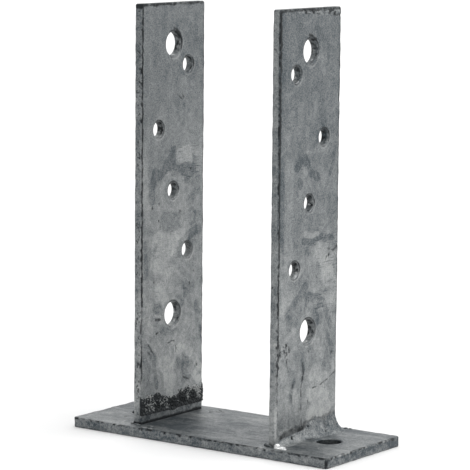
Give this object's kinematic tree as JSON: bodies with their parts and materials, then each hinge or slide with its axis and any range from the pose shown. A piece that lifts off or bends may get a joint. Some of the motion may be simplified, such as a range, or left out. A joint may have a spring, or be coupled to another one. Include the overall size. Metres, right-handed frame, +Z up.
{
  "type": "timber post base",
  "caption": "Galvanised steel post base: two upright flat bars with bolt and screw holes, welded to a flat base plate with anchor holes.",
  "frame": {"origin": "centre of the base plate's underside, on the surface it is bolted to", "axes": "+Z up along the post; X across the post gap, from one upright to the other; Y along the uprights' width"},
  "size_m": [0.18, 0.075, 0.25],
  "materials": {
    "plate_zinc": "hot-dip galvanised, streaky satin",
    "bar_zinc": "hot-dip galvanised, mottled satin",
    "weld_zinc": "hot-dip galvanised over a rough weld"
  },
  "bodies": {
    "root": {"base_plate": "plate_zinc", "left_upright": "bar_zinc", "right_upright": "bar_zinc", "left_weld": "weld_zinc", "right_weld": "weld_zinc"}
  },
  "joints": []
}
